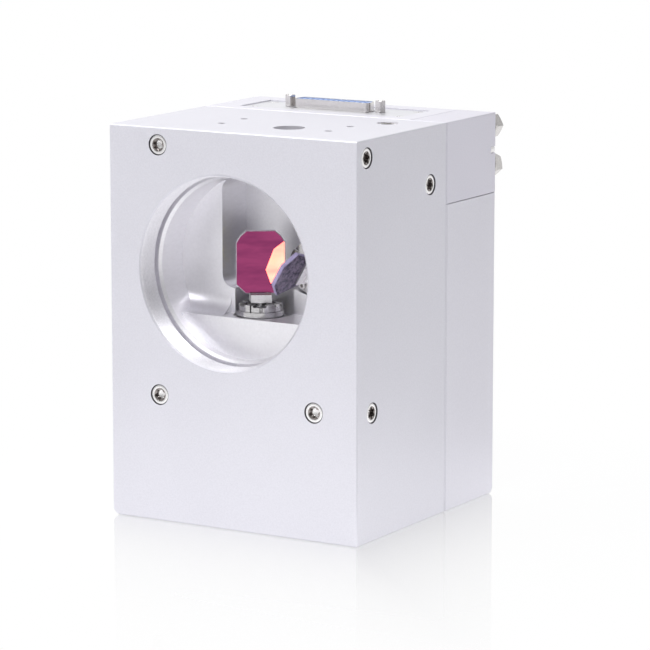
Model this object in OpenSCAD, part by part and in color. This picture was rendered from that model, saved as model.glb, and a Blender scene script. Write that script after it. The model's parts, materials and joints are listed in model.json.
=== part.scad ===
// Galvo scanner head: a water-cooled billet housing with a lens thread in the front, a beam entrance
// in the top, two galvo motors with their mirrors, and servo electronics under a rear cover.
// Frame: millimetres, +Z up, lens face towards -Y, right side towards +X.
// Origin: the centre of the base face.

/* [Housing] */
// Overall width
body_w = 125; // [122:1:160]
// Overall depth, lens face to rear cover face
body_d = 123; // [121:1:160]
// Overall height of the housing
body_h = 174; // [170:1:230]
// Depth of the front housing, lens face to seam
hood_d = 77.5; // [76:0.5:90]
// Chamfer on the outer edges
edge_c = 0.5; // [0.2:0.1:1]
// Chamfer along the upright seam edges
seam_c = 0.75; // [0.4:0.05:1.2]
// Chamfer on the left and rear bottom edges
foot_c = 2.5; // [1:0.5:4]

/* [Lens mount] */
// Major diameter of the lens thread
lens_d = 85; // [60:1:90]
// Length of the lens thread
thread_len = 11.5; // [8:0.5:14]
// Width of the run-out groove behind the thread
groove_w = 1.2; // [0.8:0.1:2]
// Depth of the run-out groove
groove_deep = 0.8; // [0.4:0.1:1.2]
// Diameter of the mirror chamber behind the thread
chamber_d = 80; // [56:1:86]
// Sideways place of the lens axis
lens_x = -4.6; // [-8:0.1:0]
// Lens axis below the top face
lens_drop = 61.6; // [58:0.1:66]

/* [Mirror chamber] */
// Shelf below the top face
shelf_drop = 84; // [82:0.5:88]
// Front edge of the shelf, behind the lens face
shelf_front = 18.5; // [17:0.5:19.5]
// Left back wall, behind the lens face
wall_back = 30; // [28:0.5:33]
// Fillet between the shelf and the left back wall
shelf_r = 8; // [4:0.5:10]
// Left side of the mirror pocket
pocket_left = -23.5; // [-27:0.5:-20]
// Right side of the mirror pocket
pocket_right = 36; // [33:0.5:37]
// Back of the mirror pocket, behind the lens face
pocket_back = 50; // [48:0.5:54]
// Floor of the mirror pocket, below the top face
pocket_drop = 73; // [71:0.5:75]
// Roof of the mirror pocket, below the top face
pocket_roof = 24; // [22:0.5:30]
// Corner radius of the mirror pocket
pocket_r = 6; // [3:0.5:8]
// Back of the right-hand ledge, behind the lens face
ledge_back = 40; // [38:0.5:42]
// Back of the slot over the second motor, behind the lens face
slot_back = 46; // [45:0.5:48]

/* [Beam] */
// Beam entrance and first mirror, sideways
beam_x = 12.6; // [11:0.1:15]
// Beam entrance and first mirror, behind the lens face
beam_y = 27.2; // [25:0.1:30]
// Bore of the beam entrance
beam_bore = 13.8; // [10:0.2:16]
// First mirror centre below the top face
beam_drop = 62.8; // [60:0.1:66]
// Second mirror and its motor, sideways
scan_x = -4.9; // [-7:0.1:-4]
// Second mirror and its motor, behind the lens face
scan_y = 31.8; // [31:0.1:34]
// Second mirror centre below the top face
scan_drop = 60.7; // [59:0.1:63]
// Turn of the first motor axis from straight back
x_axis_turn = 10; // [4:1:14]
// Angle of the first mirror above level, as it rests
x_rest = 57.1; // [50:0.1:60]
// Angle of the second mirror from straight across, as it rests
y_rest = 35.6; // [30:0.1:50]

/* [Mirrors] */
// Widest part of the first mirror, across its axis
x_mirror_w = 23; // [19:0.2:24]
// Length of the first mirror, along its axis
x_mirror_l = 17.8; // [14.8:0.2:18.4]
// Width of the second mirror, across its axis
y_mirror_w = 21.6; // [18:0.2:22]
// Height of the second mirror, along its axis
y_mirror_l = 27.8; // [23:0.2:30]
// Thickness of both mirrors
mirror_t = 2; // [1:0.1:2.4]

/* [Galvo motors] */
// Diameter of the motor body
motor_d = 24; // [20:0.5:25]
// Length of the motor body
motor_l = 52; // [43:1:62]
// Length of the position detector cap
detector_l = 10; // [8:0.5:12]
// Diameter of the rotor shaft
shaft_d = 5; // [4:0.2:6]
// First mirror centre to the top of its motor
x_reach = 18.4; // [18:0.1:20]
// Height of the clamping collars
collar_h = 5.4; // [4.6:0.1:5.6]

/* [Connector] */
// Connector centre, sideways
conn_x = -7.3; // [-10:0.1:-5]
// Connector centre, in front of the rear face
conn_in = 23.1; // [22:0.1:30]
// Width of the connector plate
plate_w = 84; // [78:1:90]
// Depth of the connector plate
plate_l = 26.6; // [24:0.2:28]
// Thickness of the connector plate
plate_t = 2; // [1.5:0.1:3]
// Top of the connector plate below the top face
plate_sink = 0.5; // [0.2:0.1:1]

/* [Coolant] */
// Width of the corner manifold
manifold_w = 19; // [18:0.5:23]
// Height of the corner manifold
manifold_h = 36; // [35:0.5:43]
// Diameter of the coolant drillings
channel_d = 4; // [3:0.5:4]
// Level of the upper drillings below the top face
level_a = 7.7; // [7:0.1:9]
// Level of the return drillings below the top face
level_b = 25.5; // [25:0.1:28]
// Level of the lower drillings below the top face
level_c = 117.7; // [110:0.1:119]

/* [Hidden] */

$fn = 96;
eps = 0.01;
fit = 0.05;                               // radial clearance of a turned fit
slack = 0.15;                             // clearance on each side of a flat fit

metal = [0.86, 0.85, 0.88];
cover_metal = [0.82, 0.81, 0.85];
manifold_metal = [0.78, 0.77, 0.82];
steel = [0.7, 0.7, 0.73];
black = [0.12, 0.12, 0.13];
copper = [0.72, 0.42, 0.2];
gold = [0.85, 0.68, 0.3];
board_green = [0.1, 0.35, 0.2];
contact_blue = [0.2, 0.35, 0.75];
magenta = [0.55, 0.1, 0.3];

function fy(d) = d - body_d / 2;          // distance behind the lens face to Y
function tz(d) = body_h - d;              // distance below the top face to Z
function both_sides(half) = concat(half, [for (i = [len(half) - 1:-1:0]) [-half[i].x, half[i].y]]);

// ---- shared shapes ----

// Box from corner a to corner b
module span(a, b) {
    translate(a) cube(b - a);
}

// Box from corner a to corner b with every edge chamfered by c
module chamfer_box(a, b, c) {
    s = b - a;
    translate(a) intersection() {
        linear_extrude(s.z) cut_corners(s.x, s.y, c);
        translate([0, s.y, 0]) rotate([90, 0, 0]) linear_extrude(s.y) cut_corners(s.x, s.z, c);
        rotate([90, 0, 90]) linear_extrude(s.x) cut_corners(s.y, s.z, c);
    }
}

module cut_corners(w, h, c) {
    polygon([[c, 0], [w - c, 0], [w, c], [w, h - c], [w - c, h], [c, h], [0, h - c], [0, c]]);
}

// Square bar on edge that cuts a chamfer with legs c, from the origin along +Z
module edge_bar(c, l) {
    rotate(45) translate([-c / sqrt(2), -c / sqrt(2), 0]) cube([c * sqrt(2), c * sqrt(2), l]);
}

// Rectangle with round corners, made of true arcs
module round_rect(w, h, r) {
    square([w - 2 * r, h], center = true);
    square([w, h - 2 * r], center = true);
    for (sx = [-1, 1], sy = [-1, 1])
        translate([sx * (w / 2 - r), sy * (h / 2 - r)]) circle(r);
}

// Pie slice of angle a, centred on +X
module slice(a, r) {
    polygon([[0, 0], [r * cos(a / 2), -r * sin(a / 2)], [r * cos(a / 2), r * sin(a / 2)]]);
}

// Cylinder along +Y, or along +X, from point p
module rod_y(p, r, l) {
    translate(p) rotate([-90, 0, 0]) cylinder(r = r, h = l);
}

module rod_x(p, r, l) {
    translate(p) rotate([0, 90, 0]) cylinder(r = r, h = l);
}

module tube(ro, ri, h) {
    difference() {
        cylinder(r = ro, h = h);
        translate([0, 0, -1]) cylinder(r = ri, h = h + 2);
    }
}

module hex_bar(af, h) {
    cylinder(d = af / cos(30), h = h, $fn = 6);
}

module torus(r_ring, r_wire) {
    rotate_extrude() translate([r_ring, 0]) circle(r_wire, $fn = 32);
}

// Six-lobe socket, cut downwards from z = 0
module lobe_socket(d, deep) {
    translate([0, 0, -deep]) {
        cylinder(d = d * 0.74, h = deep + 1, $fn = 48);
        for (k = [0:5])
            rotate(60 * k) translate([d * 0.36, 0, 0]) cylinder(d = d * 0.27, h = deep + 1, $fn = 24);
    }
}

// Screw with the top of its head at z = 0 and its shank downwards
head_c = 0.4;
module socket_screw(head_d, head_h, shank_d, shank_l, socket_d) {
    difference() {
        union() {
            translate([0, 0, -head_h]) cylinder(d = head_d, h = head_h - head_c);
            translate([0, 0, -head_c]) cylinder(d1 = head_d, d2 = head_d - 2 * head_c, h = head_c);
            translate([0, 0, -head_h - shank_l]) cylinder(d = shank_d, h = shank_l + eps);
        }
        lobe_socket(socket_d, head_h * 0.62);
    }
}

// ---- coolant circuit: cross drillings closed by plug screws ----

plug_head_d = 8.5;
plug_head_h = 3.2;
plug_sink = 0.3;                          // head top below the face
plug_bore_d = 9.2;
plug_shank_d = 5;
plug_shank_l = 2.8;
plug_socket_d = 4.6;
seal_wire = 0.5;
plug_seat = plug_sink + plug_head_h + 2 * seal_wire;
plug_tip = plug_seat + plug_shank_l;
plug_grip = plug_tip - plug_sink - plug_head_h;

port_x = body_w / 2 - manifold_w / 2;
riser_l = [-37.4, 63];                    // left riser: sideways, behind the lens face
riser_r = [41, 63];                       // right riser
cross_a = 7.9;                            // upper cross drilling behind the lens face
cross_c = 12.8;                           // lower cross drilling behind the lens face

front_plug_at = [[riser_l.x, level_a], [riser_l.x, level_c], [riser_r.x, level_c]];
right_plug_at = [[cross_a, level_a], [riser_r.y, level_b], [cross_c, level_c]];

// Places with local +Z out of the face: on a face point
module on_front(p) {
    translate([p.x, fy(0), tz(p.y)]) rotate([90, 0, 0]) children();
}

module on_right(p) {
    translate([body_w / 2, fy(p.x), tz(p.y)]) rotate([0, 90, 0]) children();
}

module on_top(p) {
    translate([p.x, fy(p.y), body_h]) children();
}

module on_base(p) {
    translate([p.x, fy(p.y), 0]) rotate([180, 0, 0]) children();
}

module plug_mouth() {
    translate([0, 0, -plug_seat]) cylinder(d = plug_bore_d, h = plug_seat + 1);
    translate([0, 0, -plug_tip - 1]) cylinder(d = plug_shank_d + 2 * fit, h = plug_shank_l + 2);
}

module plug() {
    translate([0, 0, -plug_sink])
        socket_screw(plug_head_d, plug_head_h, plug_shank_d, plug_grip, plug_socket_d);
}

module plug_seal() {
    translate([0, 0, -plug_seat + seal_wire]) torus(plug_shank_d / 2 + seal_wire + 2 * fit, seal_wire);
}

// The drillings, from the feed port to the return port
module channels() {
    r = channel_d / 2;
    right = body_w / 2 - plug_tip;
    front = fy(plug_tip);
    riser_top = tz(level_a);
    loop_z = tz(level_c);
    rod_y([port_x, fy(cross_a), riser_top], r, hood_d - cross_a + 1);
    rod_x([riser_l.x, fy(cross_a), riser_top], r, right - riser_l.x);
    rod_y([riser_l.x, front, riser_top], r, fy(riser_l.y) - front);
    translate([riser_l.x, fy(riser_l.y), plug_tip]) cylinder(r = r, h = riser_top - plug_tip);
    for (x = [riser_l.x, riser_r.x]) rod_y([x, front, loop_z], r, fy(riser_r.y) - front);
    rod_x([riser_l.x, fy(cross_c), loop_z], r, right - riser_l.x);
    translate([riser_r.x, fy(riser_r.y), loop_z]) cylinder(r = r, h = level_c - plug_tip);
    rod_x([riser_r.x, fy(riser_r.y), tz(level_b)], r, right - riser_r.x);
    rod_y([port_x, fy(riser_r.y), tz(level_b)], r, hood_d - riser_r.y + 1);
}

module front_plugs() color(steel) {
    for (p = front_plug_at) on_front(p) plug();
}

module right_plugs() color(steel) {
    for (p = right_plug_at) on_right(p) plug();
}

module top_plug() color(steel) {
    on_top(riser_r) plug();
}

module bottom_plug() color(steel) {
    on_base(riser_l) plug();
}

module plug_seals() color(black) {
    for (p = front_plug_at) on_front(p) plug_seal();
    for (p = right_plug_at) on_right(p) plug_seal();
    on_top(riser_r) plug_seal();
    on_base(riser_l) plug_seal();
}

// ---- front housing ----

motor_bore = motor_d + 2 * fit;
boss_r = motor_d / 2 + 1.4;
room_left = -31;                          // lower room for the second motor, open to the rear
room_right = 50;
room_front = 14;
room_top = 128;
room_floor = 8;
slot_deep = 4;                            // slot floor below the shelf
entry_holes = [for (x = [-21, 33], y = [26, 44.5]) [x, y]];
entry_hole_d = 3.3;
entry_hole_l = 9;
m4_hole = 1.65;
m2_tap = 1;
screw_in = 7.5;                           // long screws, in from the side faces
cover_screw_at = [
    [-body_w / 2 + screw_in, screw_in],
    [body_w / 2 - screw_in, screw_in],
    [-body_w / 2 + screw_in, body_h - 12],
    [body_w / 2 - screw_in, body_h - manifold_h - 10]
];

// First motor and mirror, second motor and mirror: local +Z runs from the motor to the mirror,
// and z = 0 is the mirror's centre
module x_place() {
    translate([beam_x, fy(beam_y), tz(beam_drop)]) rotate([90, 0, -x_axis_turn]) children();
}

module y_place() {
    translate([scan_x, fy(scan_y), tz(scan_drop)]) children();
}

// The front housing is one block. It is given as three nodes that meet face to face: the ring round
// the lens bore, the tray below the lower room's roof, and the rest with the mirror pocket.
ring_lap = 1;
ring_back = shelf_front + ring_lap;

module lens_ring() color(metal) intersection() {
    housing_block();
    span([-body_w, fy(-1), tz(room_top)], [body_w, fy(ring_back), body_h + 1]);
}

module base_tray() color(metal) intersection() {
    housing_block();
    span([-body_w, fy(-1), -1], [body_w, fy(hood_d + 1), tz(room_top)]);
}

module front_housing() color(metal) intersection() {
    housing_block();
    span([-body_w, fy(ring_back), tz(room_top)], [body_w, fy(hood_d + 1), body_h + 1]);
}

module housing_block() difference() {
    chamfer_box([-body_w / 2, fy(0), 0], [body_w / 2, fy(hood_d), body_h], edge_c);
    // seam chamfers and the chamfer along the left foot
    for (s = [-1, 1]) translate([s * body_w / 2, fy(hood_d), -1]) edge_bar(seam_c, body_h + 2);
    translate([-body_w / 2, fy(-1), 0]) rotate([-90, 0, 0]) edge_bar(foot_c, hood_d + 2);
    lens_bore();
    mirror_chamber();
    // beam entrance and the holes round it
    translate([beam_x, fy(beam_y), tz(pocket_roof + 5)]) cylinder(d = beam_bore, h = pocket_roof + 6);
    for (p = entry_holes)
        on_top(p) translate([0, 0, -entry_hole_l]) cylinder(d = entry_hole_d, h = entry_hole_l + 1);
    // motor bores and the lower room
    on_top([scan_x, scan_y]) translate([0, 0, -room_top - 1])
        cylinder(d = motor_bore, h = room_top + 2 - shelf_drop);
    x_place() translate([0, 0, -x_reach - 2 * motor_l])
        cylinder(d = motor_bore, h = 2 * motor_l + collar_h + 2);
    span([room_left, fy(room_front), room_floor], [room_right, fy(hood_d + 1), tz(room_top)]);
    channels();
    for (p = front_plug_at) on_front(p) plug_mouth();
    for (p = right_plug_at) on_right(p) plug_mouth();
    on_top(riser_r) plug_mouth();
    on_base(riser_l) plug_mouth();
    // threads for the long screws and the board carrier
    for (p = concat(cover_screw_at, manifold_screw_at))
        rod_y([p.x, fy(hood_d - long_grip - 1), p.y], m4_hole, long_grip + 2);
    for (p = carrier_screw_at) rod_y([p.x, fy(hood_d - carrier_grip - 1), p.y], m3_hole, carrier_grip + 2);
}

// Thread, run-out groove and lead-in of the lens seat, with the round bore behind it
module lens_bore() {
    lead = 0.6;
    step_w = 1.2;
    translate([lens_x, fy(0), tz(lens_drop)]) rotate([-90, 0, 0], $fn = 180) {
        translate([0, 0, -1]) cylinder(d = lens_d, h = thread_len + 1 + eps);
        translate([0, 0, -eps]) cylinder(d1 = lens_d + 2 * lead, d2 = lens_d, h = lead);
        translate([0, 0, thread_len]) cylinder(d = lens_d + 2 * groove_deep, h = groove_w);
        translate([0, 0, thread_len + groove_w - eps])
            cylinder(d1 = chamber_d + 2 * step_w, d2 = chamber_d, h = step_w);
        translate([0, 0, thread_len]) cylinder(d = chamber_d, h = shelf_front - thread_len);
    }
}

module mirror_chamber() {
    pocket_z = tz((pocket_drop + pocket_roof) / 2);
    // round bore above the shelf, back to the left wall, with the fillet at the wall's foot
    intersection() {
        rod_y([lens_x, fy(shelf_front - 1), tz(lens_drop)], chamber_d / 2, wall_back - shelf_front + 1);
        difference() {
            span([-body_w, fy(shelf_front - 2), tz(shelf_drop)], [body_w, fy(wall_back + 1), body_h]);
            difference() {
                span([-body_w, fy(wall_back - shelf_r), tz(shelf_drop + 1)],
                     [scan_x - motor_d / 2 - 2, fy(wall_back + 2), tz(shelf_drop - shelf_r)]);
                rod_x([-body_w - 1, fy(wall_back - shelf_r), tz(shelf_drop - shelf_r)], shelf_r, 2 * body_w);
            }
        }
    }
    difference() {
        union() {
            // tall pocket
            translate([(pocket_left + pocket_right) / 2, fy(pocket_back), pocket_z])
                rotate([90, 0, 0]) linear_extrude(pocket_back - wall_back + 3)
                    round_rect(pocket_right - pocket_left, pocket_drop - pocket_roof, pocket_r);
            // ledge on the right
            span([scan_x, fy(wall_back - 1), tz(shelf_drop)],
                 [pocket_right - pocket_r - 2, fy(ledge_back), tz(pocket_drop - pocket_r)]);
        }
        // boss that carries the first motor
        x_place() translate([0, 0, -x_reach - motor_l]) cylinder(r = boss_r, h = motor_l);
    }
    // slot over and behind the second motor
    span([scan_x - motor_bore / 2, fy(scan_y), tz(shelf_drop + slot_deep)],
         [scan_x + motor_bore / 2, fy(slot_back), tz(pocket_drop - 1)]);
    span([scan_x - motor_bore / 2, fy(wall_back - 1), tz(shelf_drop)],
         [scan_x + motor_bore / 2, fy(scan_y + 1), tz(pocket_drop - 1)]);
}

// ---- rear cover ----

cover_wall = 4;
cover_top = 6;
gasket_t = 0.6;
gasket_in = 1.5;
post = 12;                                // square post round each long screw
notch_wall = 3;
notch_x = body_w / 2 - manifold_w - slack;
notch_z = body_h - manifold_h - slack;
long_grip = 8;                            // thread engaged by the long screws
long_sink = 0.4;
long_head = [7, 4];                       // diameter, height
long_shank_r = 2;

// Room behind the seam: everything inside the cover's walls
module cover_room() {
    difference() {
        span([-body_w / 2 + cover_wall, fy(hood_d - 1), cover_wall],
             [body_w / 2 - cover_wall, fy(body_d - cover_wall), body_h - cover_top]);
        span([notch_x - notch_wall, fy(hood_d - 2), notch_z - notch_wall], [body_w, fy(body_d), body_h]);
        for (p = cover_screw_at)
            translate([p.x - post / 2, fy(hood_d - 2), p.y - post / 2]) cube([post, body_d, post]);
    }
}

module long_screw_hole(p) {
    rod_y([p.x, fy(hood_d - 1), p.y], long_shank_r + 0.2, body_d);
    rod_y([p.x, fy(body_d - long_sink - long_head[1]), p.y], long_head[0] / 2 + 0.3, 10);
}

module long_screw(p) {
    l = body_d - hood_d - long_sink - long_head[1] + long_grip;
    translate([p.x, fy(body_d - long_sink), p.y]) rotate([-90, 0, 0])
        socket_screw(long_head[0], long_head[1], 2 * m4_hole, l, 3.6);
}

module rear_cover() color(cover_metal) difference() {
    chamfer_box([-body_w / 2, fy(hood_d + gasket_t), 0], [body_w / 2, fy(body_d), body_h], edge_c);
    cover_room();
    span([notch_x, fy(hood_d - 1), notch_z], [body_w, fy(body_d + 1), body_h + 1]);
    for (s = [-1, 1]) translate([s * body_w / 2, fy(hood_d + gasket_t), -1]) edge_bar(seam_c, body_h + 2);
    // foot chamfers on the left and at the rear
    translate([-body_w / 2, fy(hood_d - 1), 0]) rotate([-90, 0, 0]) edge_bar(foot_c, body_d);
    translate([-body_w, fy(body_d), 0]) rotate([0, 90, 0]) edge_bar(foot_c, 2 * body_w);
    for (p = cover_screw_at) long_screw_hole(p);
    at_conn() {
        // seat and window of the connector plate
        translate([-plate_w / 2 - slack, -plate_l / 2 - slack, -plate_sink - plate_t])
            cube([plate_w + 2 * slack, plate_l + 2 * slack, plate_t + plate_sink + 1]);
        translate([-window_w / 2, -window_l / 2, -cover_top - 1]) cube([window_w, window_l, cover_top + 2]);
        for (p = concat(plate_screw_at, post_at))
            translate([p.x, p.y, -cover_top - 1]) cylinder(r = m2_tap, h = cover_top);
    }
}

module cover_gasket() color(black) difference() {
    span([-body_w / 2 + gasket_in, fy(hood_d), foot_c + 0.5],
         [body_w / 2 - gasket_in, fy(hood_d + gasket_t), body_h - gasket_in]);
    cover_room();
    span([notch_x - slack, fy(hood_d - 1), notch_z - slack], [body_w, fy(body_d), body_h + 1]);
    for (p = cover_screw_at) rod_y([p.x, fy(hood_d - 1), p.y], long_shank_r + 0.3, body_d);
}

module cover_screws() color(steel) {
    for (p = cover_screw_at) long_screw(p);
}

// ---- coolant manifold and ports ----

manifold_c = 0.3;
manifold_screw_at = [for (s = [-1, 1]) [port_x + s * 6, tz((level_a + level_b) / 2)]];
face_wire = 0.6;
face_ring = channel_d / 2 + face_wire + 0.3;
port_thread_r = 4.2;
port_thread_l = 9;
port_af = 10;
port_hex_l = 4;
port_neck_r = 3;
port_wire = 0.5;
nipple_r = 2;
port_bore_r = 1.3;
port_core_r = 1.8;                        // wider bore inside the manifold
nut_from = 9;                             // union nut behind the rear face
nut_l = 6;
nut_mouth_r = 3.2;
nut_turn = 20;                            // turn of the lower nut against the upper

module coolant_manifold() color(manifold_metal) difference() {
    chamfer_box([notch_x + slack, fy(hood_d), notch_z + slack], [body_w / 2, fy(body_d), body_h], manifold_c);
    for (d = [level_a, level_b]) {
        rod_y([port_x, fy(hood_d - 1), tz(d)], channel_d / 2, body_d);
        rod_y([port_x, fy(body_d - port_thread_l), tz(d)], port_thread_r, port_thread_l + 1);
        rod_y([port_x, fy(hood_d - 1), tz(d)], face_ring + face_wire + fit, 1 + 2 * face_wire);
    }
    for (p = manifold_screw_at) long_screw_hole(p);
    translate([body_w / 2, fy(hood_d), -1]) edge_bar(seam_c, body_h + 2);
}

module manifold_screws() color(steel) {
    for (p = manifold_screw_at) long_screw(p);
}

module manifold_seals() color(black) {
    for (d = [level_a, level_b])
        translate([port_x, fy(hood_d) + face_wire, tz(d)]) rotate([-90, 0, 0]) torus(face_ring, face_wire);
}

// Local +Z out of the rear face
module at_port(d) {
    translate([port_x, fy(body_d), tz(d)]) rotate([-90, 0, 0]) rotate(d == level_a ? 0 : nut_turn) children();
}

module port_fittings() color(steel) {
    for (d = [level_a, level_b]) at_port(d) difference() {
        union() {
            translate([0, 0, 1 - port_thread_l]) cylinder(r = port_thread_r - fit, h = port_thread_l - 1);
            cylinder(r = port_neck_r, h = 2 * port_wire + eps);
            translate([0, 0, 2 * port_wire]) hex_bar(port_af, port_hex_l);
            translate([0, 0, 2 * port_wire]) cylinder(r = port_neck_r, h = nut_from + 1);
            translate([0, 0, nut_from]) cylinder(r = nipple_r, h = nut_l - 1);
        }
        cylinder(r = port_bore_r, h = 4 * port_thread_l);
        translate([0, 0, -port_thread_l]) cylinder(r = port_core_r, h = port_thread_l + 2 * port_wire);
    }
}

module port_nuts() color(steel) {
    bevel = 0.8;
    corner_r = port_af / 2 / cos(30);
    for (d = [level_a, level_b]) at_port(d) translate([0, 0, nut_from]) difference() {
        intersection() {
            hex_bar(port_af, nut_l);
            union() {
                cylinder(r1 = corner_r - bevel, r2 = corner_r, h = bevel);
                translate([0, 0, bevel]) cylinder(r = corner_r, h = nut_l - 2 * bevel);
                translate([0, 0, nut_l - bevel]) cylinder(r1 = corner_r, r2 = corner_r - bevel, h = bevel);
            }
        }
        translate([0, 0, -1]) cylinder(r = port_neck_r + fit, h = 2 * port_wire + 2 + fit);
        cylinder(r = nut_mouth_r, h = nut_l + 1);
    }
}

module port_seals() color(black) {
    for (d = [level_a, level_b]) at_port(d)
        translate([0, 0, port_wire]) torus(port_thread_r + port_wire - 0.4, port_wire);
}

// ---- connector ----

window_w = 58;
window_l = 17;
contact_pitch = 2.76;
row_pitch = 2.84;
jack_pitch = 47.04;
shell_w = 38.96;
shell_l = 8.36;
shell_wall = 0.45;
shell_r = 2.4;
shell_lean = 10;
shell_up = 4.2;                           // shell above the plate
jack_up = 5.3;                            // standoff above the plate
jack_af = 4.4;
jack_hole_r = 1.13;
jack_stem_r = 1.5;
flange_w = 53;
flange_l = 12.5;
flange_t = 0.8;
rear_block = [40, 10, 5];                 // insulator behind the flange
plate_screw_at = [for (sx = [-1, 1], sy = [-1, 1]) [sx * (plate_w / 2 - 4), sy * (plate_l / 2 - 4)]];

// Local z = 0 is the housing top face, over the connector's centre
module at_conn() {
    translate([conn_x, fy(body_d - conn_in), body_h]) children();
}

// D outline, wide side towards -Y, shrunk by s all round
module d_outline(s) {
    r = shell_r - s;
    n = r * [cos(shell_lean), sin(shell_lean)];
    rise = shell_l - 2 * shell_r;
    low = [shell_w / 2 - shell_r, -rise / 2];
    high = [low.x - rise * tan(shell_lean), rise / 2];
    polygon(both_sides([[low.x, low.y - r], low + n, high + n, [high.x, high.y + r]]));
    for (c = [low, high], side = [-1, 1]) translate([side * c.x, c.y]) circle(r, $fn = 48);
}

module jack_holes() {
    for (s = [-1, 1]) translate([s * jack_pitch / 2, 0]) circle(jack_stem_r + 0.1);
}

module connector_plate() color(metal) at_conn() difference() {
    translate([0, 0, -plate_sink - plate_t]) linear_extrude(plate_t) difference() {
        square([plate_w, plate_l], center = true);
        square([shell_w + 0.8, shell_l + 0.8], center = true);
        jack_holes();
        for (p = plate_screw_at) translate(p) circle(1.3);
    }
    for (p = plate_screw_at) translate([p.x, p.y, -plate_sink - 1.2]) cylinder(r1 = 1.3, r2 = 2.55, h = 1.25);
}

module plate_screws() color(steel) at_conn() {
    for (p = plate_screw_at) translate([p.x, p.y, -plate_sink]) difference() {
        union() {
            translate([0, 0, -1.2]) cylinder(r1 = 1.2, r2 = 2.4, h = 1.2);
            translate([0, 0, -5]) cylinder(r = m2_tap, h = 4);
        }
        lobe_socket(1.9, 0.8);
    }
}

module dsub_shell() color(steel) at_conn() translate([0, 0, -plate_sink - plate_t]) {
    linear_extrude(plate_t + shell_up) difference() {
        d_outline(0);
        d_outline(shell_wall);
    }
    translate([0, 0, -flange_t]) linear_extrude(flange_t) difference() {
        square([flange_w, flange_l], center = true);
        d_outline(shell_wall);
        jack_holes();
    }
}

function contact_at() = concat(
    [for (k = [0:12]) [(k - 6) * contact_pitch, -row_pitch / 2]],
    [for (k = [0:11]) [(k - 5.5) * contact_pitch, row_pitch / 2]]
);
contact_r = 0.7;
tail_r = 0.3;
face_below_rim = 0.3;

module dsub_insulator() color(contact_blue) at_conn() translate([0, 0, -plate_sink - plate_t]) difference() {
    union() {
        translate([0, 0, -flange_t - eps])
            linear_extrude(flange_t + eps + plate_t + shell_up - face_below_rim) d_outline(shell_wall + fit);
        translate([-rear_block.x / 2, -rear_block.y / 2, -flange_t - rear_block.z]) cube(rear_block);
    }
    for (p = contact_at()) translate([p.x, p.y, -10]) cylinder(r = contact_r + 0.02, h = 30, $fn = 24);
}

module dsub_contacts() color(gold) at_conn() {
    foot = -plate_sink - plate_t - flange_t - rear_block.z;
    l = shell_up - plate_sink - face_below_rim - 0.3 - foot;
    for (p = contact_at()) translate([p.x, p.y, foot]) difference() {
        union() {
            cylinder(r = contact_r, h = l, $fn = 24);
            translate([0, 0, -tail_l]) cylinder(r = tail_r, h = tail_l + 1, $fn = 24);
        }
        translate([0, 0, rear_block.z]) cylinder(r = contact_r - 0.2, h = l, $fn = 24);
    }
}

module jackscrews() color(steel) at_conn() {
    for (s = [-1, 1]) translate([s * jack_pitch / 2, 0, -plate_sink]) difference() {
        union() {
            hex_bar(jack_af, jack_up);
            translate([0, 0, -plate_t - flange_t - 2]) cylinder(r = jack_stem_r, h = plate_t + flange_t + 3);
        }
        translate([0, 0, 0.4]) cylinder(r = jack_hole_r, h = jack_up);
    }
}

// ---- galvo motor, in its own frame: z = 0 is the motor's top, the mirror is above ----

body_wall = 2.4;
cap_t = 1.5;                              // top wall of the motor body
core_r = motor_d / 2 - body_wall;
bell_t = 6;
bearing_r = 5;
bearing_h = 4;
bearing_lip = 0.5;
shaft_r = shaft_d / 2;
shaft_tail = 6;
coil_wall = 3;
air_gap = 1;
neck_r = motor_d / 2 - 5.4;               // snout that the collar clamps
neck_h = 4.4;
neck_bore_r = shaft_r + 1.3;
hub_w = 9.2;                              // hub block, across and half its depth
hub_deep = 4.2;
hub_gap = 0.35;                           // hub above the collar
y_recess = 0.6;                           // second motor's top below the shelf
y_reach = shelf_drop - scan_drop + y_recess;

module x_motor_place() {
    x_place() translate([0, 0, -x_reach]) children();
}

module y_motor_place() {
    y_place() translate([0, 0, -y_reach]) children();
}

module motor_body() {
    difference() {
        union() {
            translate([0, 0, -motor_l]) cylinder(d = motor_d, h = motor_l);
            translate([0, 0, -eps]) cylinder(r = neck_r, h = neck_h + eps);
        }
        translate([0, 0, -motor_l - 1]) cylinder(r = core_r, h = motor_l + 1 - cap_t);
        translate([0, 0, -cap_t - 1]) cylinder(r = neck_bore_r, h = neck_h + cap_t + 2);
    }
}

module end_bells() {
    for (z = [-cap_t - bell_t, -motor_l]) translate([0, 0, z]) difference() {
        cylinder(r = core_r, h = bell_t);
        translate([0, 0, -1]) cylinder(r = shaft_r + 0.8, h = bell_t + 2);
        translate([0, 0, bell_t - bearing_h - bearing_lip]) cylinder(r = bearing_r, h = bell_t);
    }
}

module bearings() {
    for (z = [-cap_t - bell_t, -motor_l])
        translate([0, 0, z + bell_t - bearing_h - bearing_lip]) tube(bearing_r, shaft_r + fit, bearing_h);
}

module coil() {
    l = motor_l - 2 * bell_t - cap_t;
    translate([0, 0, 1 - motor_l + bell_t]) tube(core_r, core_r - coil_wall, l - 2);
}

module magnet() {
    l = motor_l - 2 * bell_t - cap_t;
    translate([0, 0, 2 - motor_l + bell_t]) tube(core_r - coil_wall - air_gap, shaft_r, l - 4);
}

module shaft(l) {
    translate([0, 0, -motor_l - shaft_tail]) cylinder(r = shaft_r, h = motor_l + shaft_tail + l);
}

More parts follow.
